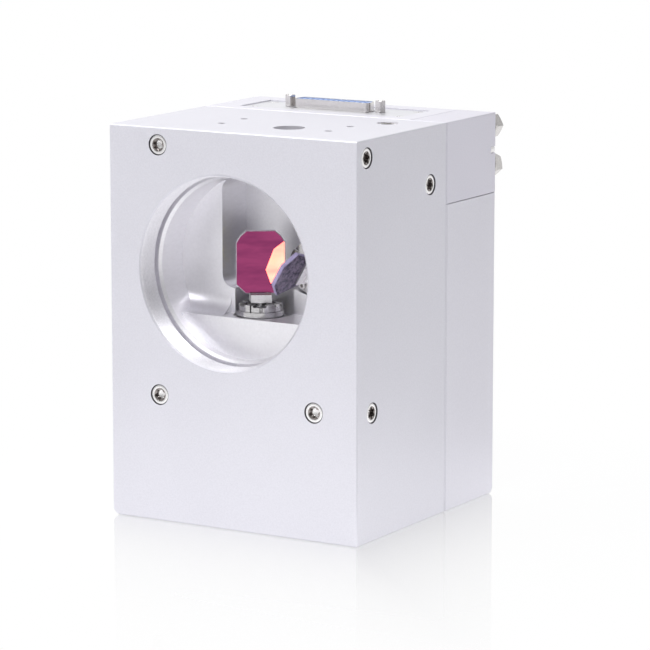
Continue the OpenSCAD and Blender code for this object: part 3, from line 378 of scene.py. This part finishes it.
# low and high corner of each separate solid of a node, from its left to its right
def solidBoxes(node):
    bm = weldedCopy(node)
    left = set(bm.verts)
    boxes = []
    while left:
        stack = [left.pop()]
        group = []
        while stack:
            vertex = stack.pop()
            group.append(vertex.co.copy())
            for edge in vertex.link_edges:
                other = edge.other_vert(vertex)
                if other in left:
                    left.remove(other)
                    stack.append(other)
        low = Vector([min(point[i] for point in group) for i in range(3)])
        high = Vector([max(point[i] for point in group) for i in range(3)])
        boxes.append((low, high))
    bm.free()
    return sorted(boxes, key=lambda pair: tuple(round(value, 5) for value in pair[0]))  # to 0.01 mm


def bevelEdges(bm, edges, width, segments):
    bmesh.ops.bevel(bm, geom=edges, offset=width, offset_type="OFFSET", segments=segments, profile=0.5,
                    affect="EDGES", clamp_overlap=True, material=-1)


# rounds the edges that turn more than the limit
def softenEdges(bm, width, limit=35):
    bm.normal_update()
    sharp = [edge for edge in bm.edges
             if len(edge.link_faces) == 2 and edge.calc_face_angle(0) > math.radians(limit)]
    if sharp:
        bevelEdges(bm, sharp, width, 2)


# makes a mesh a piece that stands for its nodes, or a new one with a body of its own; the slot is not used
def addPiece(name, bm, stands=(), materials=(), body=None, smooth=32, slot=None):
    mesh = bpy.data.meshes.new(name)
    bm.normal_update()
    bm.to_mesh(mesh)
    bm.free()
    for material in materials:
        mesh.materials.append(finishes[material])
    mesh.shade_smooth()
    mesh.set_sharp_from_angle(angle=math.radians(smooth))
    piece = bpy.data.objects.new(name, mesh)
    scene.collection.objects.link(piece)
    weighted = piece.modifiers.new("evenShading", "WEIGHTED_NORMAL")
    weighted.keep_sharp = True
    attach(piece, body or bodyOf[stands[0]])
    if stands:
        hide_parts(*stands)
    slot or slotOf[stands[0]]


# turned shape round Z from (radius, height) pairs
def turned(profile, steps, closed=False):
    bm = bmesh.new()
    points = [bm.verts.new((radius, 0, height)) for radius, height in profile]
    edges = [bm.edges.new(pair) for pair in zip(points, points[1:])]
    if closed:
        edges.append(bm.edges.new((points[-1], points[0])))
    bmesh.ops.spin(bm, geom=points + edges, cent=(0, 0, 0), axis=(0, 0, 1), angle=2 * math.pi, steps=steps,
                   use_merge=True)
    bmesh.ops.remove_doubles(bm, verts=bm.verts, dist=weldReach / 2)
    bmesh.ops.recalc_face_normals(bm, faces=bm.faces)
    return bm


# moves the turned rings within reach of a radius to an outline, which gives a radius for each angle
def shapeRings(bm, radius, reach, outline):
    moved = []
    for vertex in bm.verts:
        flat = math.hypot(vertex.co.x, vertex.co.y)
        if abs(flat - radius) < reach:
            scale = outline(math.atan2(vertex.co.y, vertex.co.x)) / flat
            vertex.co.x *= scale
            vertex.co.y *= scale
            moved.append(vertex)
    return moved


def joinInto(target, source, matrix):
    source.transform(matrix)
    mesh = bpy.data.meshes.new("joined")
    source.to_mesh(mesh)
    source.free()
    target.from_mesh(mesh)
    bpy.data.meshes.remove(mesh)


def lifted(height):
    return Matrix.Translation((0, 0, height))


# matrix that stands local +Z along a direction, at a point
def standing(point, direction, turn=0):
    return (Matrix.Translation(point) @ Vector(direction).to_track_quat("Z", "Y").to_matrix().to_4x4()
            @ Matrix.Rotation(math.radians(turn), 4, "Z"))


# housing, cover and manifold: the frame's own shape with its edges rounded
blockSet = {"rounding": 0.09 * mm, "coverRounding": 0.35 * mm, "limit": 30}


def blockPiece(name, stands, finish, zones=None, rounding=blockSet["rounding"]):
    bm = mergedCopy(*stands)
    softenEdges(bm, rounding, blockSet["limit"])
    if zones:
        for face in bm.faces:
            face.material_index = zones(face)
    addPiece(name, bm, stands, finish)


lensAxis = Vector(mounts["lens_thread"]["pos_m"])
lensRadius = mounts["lens_thread"]["dims"]["r_mm"] * mm
housingNodes = ("front_housing", "lens_ring", "base_tray")
housingLow = Vector([min(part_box(node)[0][i] for node in housingNodes) for i in range(3)])
housingHigh = Vector([max(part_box(node)[1][i] for node in housingNodes) for i in range(3)])
plugCentres = [(low + high) / 2 for node in ("front_plugs", "right_plugs") for low, high in solidBoxes(node)]

# depth at which the inside starts, depth and reach of a plug's seat that is painted in shade, and reach of
# the thread's seat
zoneSet = {"skin": 0.8 * mm, "plugDepth": 0.4 * mm, "plugReach": 6 * mm,
           "seatIn": 1.2 * mm, "seatOut": 2 * mm, "seatDeep": 13 * mm}


# finish of a face: 0 outside, 1 bore and chamber, 2 thread seat, 3 plug seats painted dark as shade
def housingZone(face):
    centre = face.calc_center_median()
    depth = min(min(centre[i] - housingLow[i], housingHigh[i] - centre[i]) for i in range(3))
    nearPlug = any((centre - spot).length < zoneSet["plugReach"] for spot in plugCentres)
    # the walls of a plug's seat get the painted shade
    if nearPlug and depth > zoneSet["plugDepth"]:
        return 3
    if depth <= zoneSet["skin"]:
        return 0
    reach = math.hypot(centre.x - lensAxis.x, centre.z - lensAxis.z)
    onSeat = lensRadius - zoneSet["seatIn"] < reach < lensRadius + zoneSet["seatOut"]
    return 2 if onSeat and centre.y < housingLow.y + zoneSet["seatDeep"] else 1


blockPiece("housingBlock", housingNodes, ("anodised", "machinedBore", "threadMetal", "paintedSeatShade"),
           housingZone)
blockPiece("rearCoverShell", ("rear_cover",), ("coverAnodised",), rounding=blockSet["coverRounding"])
blockPiece("manifoldBlock", ("coolant_manifold",), ("manifoldAnodised",))
blockPiece("connectorPlate", ("connector_plate",), ("plateMetal",))
print("blocks dressed")


# lens thread: a ring for each turn on the seat, with a sloped flank at both sides of its crest
threadSet = {"pitch": 1.0 * mm, "crestIn": 0.52 * mm, "rootIn": 0.02 * mm, "backOut": 0.12 * mm,
             "flank": 0.38 * mm, "flat": 0.12 * mm, "lead": 0.75 * mm, "spare": 0.3 * mm, "steps": 192}


def lensThread():
    look = threadSet
    length = mounts["lens_thread"]["dims"]["length_mm"] * mm
    crest = lensRadius - look["crestIn"]
    root = lensRadius - look["rootIn"]
    back = lensRadius + look["backOut"]
    profile = [(back, 0)]
    for k in range(int((length - look["spare"]) / look["pitch"])):
        at = k * look["pitch"]
        rise = at + look["flank"]
        fall = rise + look["flat"]
        profile += [(root, at), (crest, rise), (crest, fall), (root, fall + look["flank"])]
    profile.append((back, profile[-1][1]))
    bm = turned(profile, look["steps"], closed=True)
    bm.transform(standing(Vector((lensAxis.x, housingLow.y + look["lead"], lensAxis.z)), (0, 1, 0)))
    addPiece("lensThreadRings", bm, materials=("threadMetal",), body="housing", smooth=20,
             slot="housing_metal")


lensThread()
print("lens thread cut")


# socket screws: chamfered head, and a six-lobe socket with a lip and a drill point, its walls painted dark as
# shade
screwForm = {"footBevel": 0.15 * mm, "crown": 0.1 * mm, "lip": 0.3 * mm, "lipFold": (0.12 * mm, 0.05 * mm),
             "lipDeep": 0.2 * mm, "taper": 0.01 * mm, "drill": 0.7, "point": 0.42, "lobes": 0.17,
             "wallReach": 0.06 * mm, "wallTop": 0.1 * mm, "steps": 96}
# closing plugs of the coolant drillings; a row is node, piece, way out and the turn of each socket
plugSet = {"head": 4.25 * mm, "height": 3.2 * mm, "chamfer": 0.35 * mm, "socket": 5.7 * mm,
           "deep": 2.2 * mm, "shank": 2.5 * mm,
           "rows": (("front_plugs", "frontPlugScrews", (0, -1, 0), (12, 40, 22)),
                    ("right_plugs", "rightPlugScrews", (1, 0, 0), (5, 33, 50)),
                    ("top_plug", "topPlugScrew", (0, 0, 1), (18,)),
                    ("bottom_plug", "bottomPlugScrew", (0, 0, -1), (44,)))}
# screws that hold the cover and the manifold
coverScrewSet = {"head": 3.5 * mm, "height": 4 * mm, "chamfer": 0.4 * mm, "socket": 3.7 * mm,
                 "deep": 2.4 * mm, "shank": 1.65 * mm,
                 "rows": (("cover_screws", "coverScrews", (0, 1, 0), (15, 38, 61, 84)),
                          ("manifold_screws", "manifoldScrews", (0, 1, 0), (15, 38)))}


# one screw with the top of its head at the origin
def screwShape(look, tall):
    form = screwForm
    ring, foot = look["socket"] / 2, -look["height"]
    profile = [(0, -tall), (look["shank"], -tall), (look["shank"], foot),
               (look["head"] - form["footBevel"], foot), (look["head"], foot + form["footBevel"]),
               (look["head"], -look["chamfer"]), (look["head"] - form["crown"], -form["crown"]),
               (look["head"] - look["chamfer"], 0), (ring + form["lip"], 0),
               (ring + form["lipFold"][0], -form["lipFold"][1]), (ring, -form["lipDeep"]),
               (ring - form["taper"], -look["deep"]), (ring * form["drill"], -look["deep"]),
               (0, -look["deep"] - ring * form["point"])]
    bm = turned(profile, form["steps"])
    for radius in (ring, ring - form["taper"]):
        shapeRings(bm, radius, weldReach,
                   lambda angle: ring * (1 - form["lobes"] + form["lobes"] * math.cos(6 * angle)))
    # the socket's walls get the painted shade
    for face in bm.faces:
        centre = face.calc_center_median()
        nearWall = math.hypot(centre.x, centre.y) < ring + form["wallReach"]
        face.material_index = 1 if nearWall and -look["deep"] < centre.z < -form["wallTop"] else 0
    return bm


def screwPieces(look):
    for node, name, outward, turns in look["rows"]:
        group = bmesh.new()
        direction = Vector(outward)
        for (low, high), turn in zip(solidBoxes(node), turns):
            tall = abs((high - low).dot(direction))
            top = (low + high) / 2 + direction * tall / 2
            joinInto(group, screwShape(look, tall), standing(top, direction, turn))
        addPiece(name, group, (node,), ("stainless", "paintedSocketShade"), smooth=38)


screwPieces(plugSet)
screwPieces(coverScrewSet)
print("socket screws made")


# pieces that keep the frame's shape and only get rounded edges, of these widths in millimetres
roundedSet = {"x_mount": 0.15, "y_mount": 0.15, "plate_screws": 0.04, "x_motor_body": 0.2,
              "y_motor_body": 0.2, "x_detector_cap": 0.25, "y_detector_cap": 0.25, "board_carrier": 0.2,
              "servo_boards": 0.08, "interface_board": 0.08, "power_transistors": 0.2,
              "board_sockets": 0.15, "dsub_shell": 0.1, "dsub_insulator": 0.12, "x_end_bells": 0.15,
              "y_end_bells": 0.15}


def roundedPieces():
    for node, width in roundedSet.items():
        bm = mergedCopy(node)
        softenEdges(bm, width * mm)
        words = node.split("_")
        name = words[0] + "".join(word.capitalize() for word in words[1:])
        addPiece(name + "Rounded", bm, (node,), (finishOf[slotOf[node]],))


roundedPieces()


# clamp collars in polished steel, and their screws with the hexagon socket painted dark as shade
collarSet = {"rounding": 0.1 * mm, "screwRounding": 0.05 * mm, "screwLimit": 50, "socketReach": 1.0 * mm}


def collarPieces():
    for joint, side in zip(record["behaviour"]["joints"], ("x", "y")):
        axis = Vector(joint["axis"]).normalized()
        collar = mergedCopy(side + "_collar")
        softenEdges(collar, collarSet["rounding"])
        addPiece(side + "CollarRounded", collar, (side + "_collar",), ("collarSteel",))
        screws = mergedCopy(side + "_collar_screws")
        softenEdges(screws, collarSet["screwRounding"], collarSet["screwLimit"])
        centres = [(low + high) / 2 for low, high in solidBoxes(side + "_collar_screws")]
        for face in screws.faces:
            centre = min(centres, key=lambda spot: (face.verts[0].co - spot).length)
            reach = max((vertex.co - centre).cross(axis).length for vertex in face.verts)
            # faces within reach of the screw's axis, its socket, get the painted shade
            face.material_index = 1 if reach < collarSet["socketReach"] else 0
        addPiece(side + "CollarScrews", screws, (side + "_collar_screws",), ("stainless", "paintedSocketShade"))


collarPieces()
print("rounded pieces made")


hexSteps = 72  # a multiple of six, so that the corners fall on vertices


# hexagon bar: round flats at both ends, 30 degree chamfers out to the corners, and a bevelled bore
def hexForm(look, tall, bore):
    half = look["across"] / 2
    corner = half / math.cos(math.pi / 6)
    ring = half * look["endFlat"]
    bevel = look["boreBevel"]
    profile = [(bore, bevel), (bore + bevel, 0), (ring, 0), (corner, tall / 4), (corner, tall * 3 / 4),
               (ring, tall), (bore + bevel, tall), (bore, tall - bevel)]
    bm = turned(profile, hexSteps, closed=True)
    sides = shapeRings(bm, corner, weldReach,
                       lambda angle: half / math.cos((angle % (math.pi / 3)) - math.pi / 6))
    for vertex in sides:
        rise = (math.hypot(vertex.co.x, vertex.co.y) - ring) * math.tan(math.radians(30))
        vertex.co.z = tall - rise if vertex.co.z > tall / 2 else rise
    return bm


# coolant ports: union nuts, and fittings with a threaded root, a neck and a tube for the hose
portSet = {"across": 10 * mm, "endFlat": 0.96, "boreBevel": 0.25 * mm, "nutBore": 3.15 * mm,
           "hexBore": 2.9 * mm, "hexTall": 4 * mm, "hexLift": 1 * mm, "bore": 1.3 * mm,
           "mouthBevel": 0.15 * mm, "root": 4.1 * mm, "rootTop": 0.2 * mm, "neck": 3 * mm,
           "neckBevel": (0.1 * mm, 0.2 * mm), "tube": 2 * mm, "tubeTall": 5 * mm,
           "tubeBevel": (0.2 * mm, 0.3 * mm), "steps": 64, "turns": (20, 0)}


# each solid of a node from the bottom up: where it starts and ends in Y, and a matrix that stands +Z along it
def portRows(node):
    boxes = sorted(solidBoxes(node), key=lambda pair: pair[0].z)
    for (low, high), turn in zip(boxes, portSet["turns"]):
        centre = (low + high) / 2
        yield low.y, high.y, standing(Vector((centre.x, 0, centre.z)), (0, 1, 0), turn)


# fitting from its foot to its top, with the cover's back at height 0
def fittingShape(foot, tall):
    look = portSet
    bore, root, neck, tube = look["bore"], look["root"], look["neck"], look["tube"]
    shoulder = tall - look["tubeTall"]
    profile = [(bore, foot), (root, foot), (root, look["rootTop"]), (neck, look["rootTop"]),
               (neck, shoulder - look["neckBevel"][1]), (neck - look["neckBevel"][0], shoulder),
               (tube, shoulder), (tube, tall - look["tubeBevel"][1]), (tube - look["tubeBevel"][0], tall),
               (bore + look["mouthBevel"], tall), (bore, tall - look["mouthBevel"])]
    return turned(profile, look["steps"], closed=True)


def portPieces():
    look = portSet
    nuts = bmesh.new()
    for start, end, spot in portRows("port_nuts"):
        joinInto(nuts, hexForm(look, end - start, look["nutBore"]), spot @ lifted(start))
    addPiece("portNuts", nuts, ("port_nuts",), ("nickel",), smooth=25)
    fittings = bmesh.new()
    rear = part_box("rear_cover")[1].y
    for start, end, spot in portRows("port_fittings"):
        joinInto(fittings, fittingShape(start - rear, end - rear), spot @ lifted(rear))
        hexagon = hexForm(look, look["hexTall"], look["hexBore"])
        joinInto(fittings, hexagon, spot @ lifted(rear + look["hexLift"]))
    addPiece("portFittings", fittings, ("port_fittings",), ("nickel",), smooth=25)


portPieces()


# hexagonal jackscrews of the connector: a bar with a blind hole, and a stem that goes through the plate
jackSet = {"across": 4.4 * mm, "endFlat": 0.95, "boreBevel": 0.2 * mm, "hole": 1.13 * mm, "holeTop": 0.4 * mm,
           "holeFoot": (0.1 * mm, 0.4 * mm), "point": 0.1 * mm, "stem": 1.5 * mm, "stemTop": 0.5 * mm,
           "stemBevel": 0.2 * mm, "steps": 48}


def jackscrewPieces():
    look = jackSet
    group = bmesh.new()
    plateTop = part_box("connector_plate")[1].z
    for low, high in solidBoxes("jackscrews"):
        centre = (low + high) / 2
        spot = Matrix.Translation((centre.x, centre.y, plateTop))
        hole, stem = look["hole"], look["stem"]
        foot, tall = low.z - plateTop, high.z - plateTop
        joinInto(group, hexForm(look, tall, hole), spot)
        profile = [(hole, tall - look["holeTop"]), (hole + look["holeFoot"][0], look["holeFoot"][1]),
                   (0, look["point"]), (0, foot), (stem - look["stemBevel"], foot),
                   (stem, foot + look["stemBevel"]), (stem, tall - look["stemTop"])]
        joinInto(group, turned(profile, look["steps"]), spot)
    addPiece("jackStandoffs", group, ("jackscrews",), ("nickel",), smooth=25)


jackscrewPieces()
print("hexagon pieces made")


# mirrors: bevelled blanks with a coated face, a mottled back and frosted edges
mirrorSet = {"edgeLimit": 70, "faceShare": 0.7, "smooth": 10}


def mirrorPiece(name, node, towards, coating, rimFinish, bevel):
    bm = mergedCopy(node)
    front = Vector(towards).normalized()
    rim = [edge for edge in bm.edges if edge.calc_face_angle(0) > math.radians(mirrorSet["edgeLimit"])]
    bevelEdges(bm, rim, bevel, 1)
    bm.normal_update()
    widest = max(face.calc_area() for face in bm.faces)
    for face in bm.faces:
        if face.calc_area() > mirrorSet["faceShare"] * widest:
            face.material_index = 0 if face.normal.dot(front) > 0 else 1
        else:
            face.material_index = 2
    addPiece(name, bm, (node,), (coating, "mirrorBack", rimFinish), smooth=mirrorSet["smooth"])


mirrorPiece("scanMirror", "y_mirror", (0, -1, 0), "mirrorMagenta", "mirrorRim", 0.25 * mm)
mirrorPiece("entryMirror", "x_mirror", (-1, 0, 1), "mirrorGold", "mirrorEdge", 0.27 * mm)
print("mirrors made")


# floor: glowNear is how white it is at the object's foot, and glowAll how many fades out it is all white
floorSet = {"half": 6, "drop": 0.2 * mm, "colour": (0.86, 0.86, 0.88, 1), "rough": 0.6, "glossRough": 0.03,
            "fade": 0.049, "glowNear": 0.92, "glowAll": 3, "mirror": 1.9, "ior": 1.45}


def floorMaterial():
    look = floorSet
    material, tree, shader = startMaterial("studioFloorWhite")
    feed(tree, shader, {"Base Color": look["colour"], "Roughness": look["rough"], "Specular IOR Level": 0})
    glow = addNode(tree, "ShaderNodeEmission")
    gloss = addNode(tree, "ShaderNodeBsdfGlossy")
    feed(tree, gloss, {"Color": (1, 1, 1, 1), "Roughness": look["glossRough"]})
    path = addNode(tree, "ShaderNodeLightPath").outputs
    # how far a point is outside the object's outline, counted in fades
    outline = (cadBounds[1][0], -cadBounds[0][1], 1)
    beyond = vectorMaths(tree, "SUBTRACT", vectorMaths(tree, "ABSOLUTE", placed(tree)), outline)
    steps = separated(tree, vectorMaths(tree, "DIVIDE", beyond, (look["fade"], look["fade"], 1)))
    away = maths(tree, "MAXIMUM", steps["X"], steps["Y"])
    seen = maths(tree, "MAXIMUM", path["Is Camera Ray"], path["Is Glossy Ray"])
    glowShare = maths(tree, "MULTIPLY", seen, spread(tree, away, look["glowNear"], 1, 0, look["glowAll"]))
    glancing = feed(tree, addNode(tree, "ShaderNodeFresnel"), {"IOR": look["ior"]}).outputs["Fac"]
    strength = maths(tree, "MULTIPLY", glancing, look["mirror"])
    mirrorShare = maths(tree, "MULTIPLY", maths(tree, "POWER", math.exp(-1), away), strength, clamp=True)
    glossShare = maths(tree, "MULTIPLY", path["Is Camera Ray"], mirrorShare)
    lit = mixShader(tree, glowShare, shader.outputs[0], glow.outputs[0])
    feed(tree, tree.nodes["Material Output"], {"Surface": mixShader(tree, glossShare, lit, gloss.outputs[0])})
    return material


def addFloor():
    bm = bmesh.new()
    bmesh.ops.create_grid(bm, x_segments=1, y_segments=1, size=floorSet["half"])
    mesh = bpy.data.meshes.new("studioFloor")
    bm.to_mesh(mesh)
    bm.free()
    floor = bpy.data.objects.new("studioFloor", mesh)
    floor.location = (0, 0, -floorSet["drop"])
    scene.collection.objects.link(floor)
    floor.data.materials.append(floorMaterial())


# world: light from each side, how much of it is kept as soft light, and a band behind with its limits
worldSet = {"left": 0.65, "right": 0.125, "front": 0.08, "back": 0.2, "fill": 0.65,
            "behind": 0.32, "behindFrom": (0.4, 0.75), "behindBelow": (0.27, 0.36)}


# white to the camera; brighter at the left and the back, with a low band behind that only gloss sees
def addWorld():
    look = worldSet
    world = bpy.data.worlds.new("studioWorld")
    scene.world = world
    world.use_nodes = True
    tree = world.node_tree
    path = addNode(tree, "ShaderNodeLightPath").outputs
    mirrored = path["Is Glossy Ray"]
    way = separated(tree, placed(tree))
    sides = maths(tree, "ADD", spread(tree, way["X"], look["left"], look["right"], -1, 1),
                  spread(tree, way["Y"], look["front"], look["back"], -1, 1))
    dimmed = maths(tree, "MULTIPLY", sides, spread(tree, mirrored, look["fill"], 1, 0, 1))
    band = maths(tree, "MULTIPLY", spread(tree, way["Y"], 0, look["behind"], *look["behindFrom"]),
                 spread(tree, way["Z"], 1, 0, *look["behindBelow"]))
    level = maths(tree, "MULTIPLY_ADD", band, mirrored, dimmed)
    feed(tree, tree.nodes["Background"], {"Color": (1, 1, 1, 1),
                                          "Strength": maths(tree, "MAXIMUM", level, path["Is Camera Ray"])})


# each lamp: place, point it looks at, size, power
lampSet = {"topLamp": ((-0.25, 0.1, 1.5), (0, 0, 0.1), 1.4, 14.5),
           "upperLeftLamp": ((-1.05, -1.35, 1.25), (0, 0, 0.1), 1.2, 1.9),
           "highFrontLamp": ((0.3, -1.35, 1.25), (0, 0, 0.08), 0.7, 4.5),
           "innerLamp": ((0.18, -1.23, 1.19), (0.012, -0.035, 0.11), 0.2, 3.4),
           "floorFrontLamp": ((-0.02, -0.1917, 0.0001), (-0.02, -0.1917, 1), 0.26, 0.058),
           "floorRightLamp": ((0.1627, 0.02, 0.0001), (0.1627, 0.02, 1), 0.2, 0.047),
           "glintLamp": ((-0.935, -0.975, 1.17), (0.012, -0.04, 0.112), 0.2, 2.0)}


def addLamps():
    for name, (place, aim, size, power) in lampSet.items():
        data = bpy.data.lights.new(name, "AREA")
        data.size = size
        data.energy = power
        lamp = bpy.data.objects.new(name, data)
        lamp.location = place
        lamp.rotation_euler = (Vector(aim) - Vector(place)).to_track_quat("-Z", "Y").to_euler()
        lamp.visible_camera = False
        scene.collection.objects.link(lamp)


addFloor()
addWorld()
addLamps()
scene.view_settings.view_transform = "Standard"
print("studio set")
